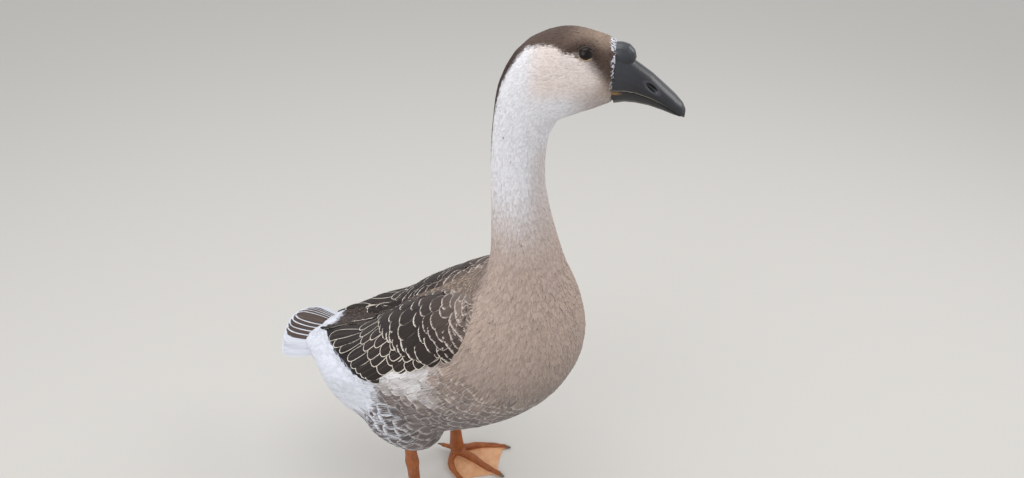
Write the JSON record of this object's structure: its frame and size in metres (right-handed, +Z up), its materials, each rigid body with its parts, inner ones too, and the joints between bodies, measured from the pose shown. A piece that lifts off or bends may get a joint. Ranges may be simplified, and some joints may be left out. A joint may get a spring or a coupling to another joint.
{
  "type": "domestic goose",
  "caption": "Life-size still model of an adult brown Chinese goose, standing on webbed feet with its neck erect and its head turned a little to the left.",
  "frame": {"origin": "on the ground, in the middle of the goose's length and width", "axes": "+X the way the body faces, +Y its left, +Z up"},
  "size_m": [0.5368, 0.2278, 0.7333],
  "materials": {
    "plumage_body": "soft contour feathers, grey-brown with pale edges; white under the tail",
    "plumage_neck": "short fawn plumage with a dark stripe down the back of the neck",
    "plumage_head": "short dense plumage, cream cheeks under a brown cap",
    "plumage_wing": "dark brown vanes with cream fringes",
    "plumage_tail": "brown vanes with white edges and tips",
    "bill": "slate-black horn, satin",
    "eye": "wet, very dark brown",
    "leg_skin": "orange scaly skin",
    "claw": "dark horn"
  },
  "bodies": {
    "root": {"trunk": "plumage_body", "neck": "plumage_neck", "head": "plumage_head", "thigh_left": "plumage_body", "thigh_right": "plumage_body", "wing_left": "plumage_wing", "wing_right": "plumage_wing", "tail": "plumage_tail", "bill_upper": "bill", "bill_lower": "bill", "eye_left": "eye", "eye_right": "eye", "leg_left": "leg_skin", "leg_right": "leg_skin", "foot_left": "leg_skin", "foot_right": "leg_skin", "claw_left_outer": "claw", "claw_left_middle": "claw", "claw_left_inner": "claw", "claw_left_hind": "claw", "claw_right_outer": "claw", "claw_right_middle": "claw", "claw_right_inner": "claw", "claw_right_hind": "claw"}
  },
  "joints": []
}
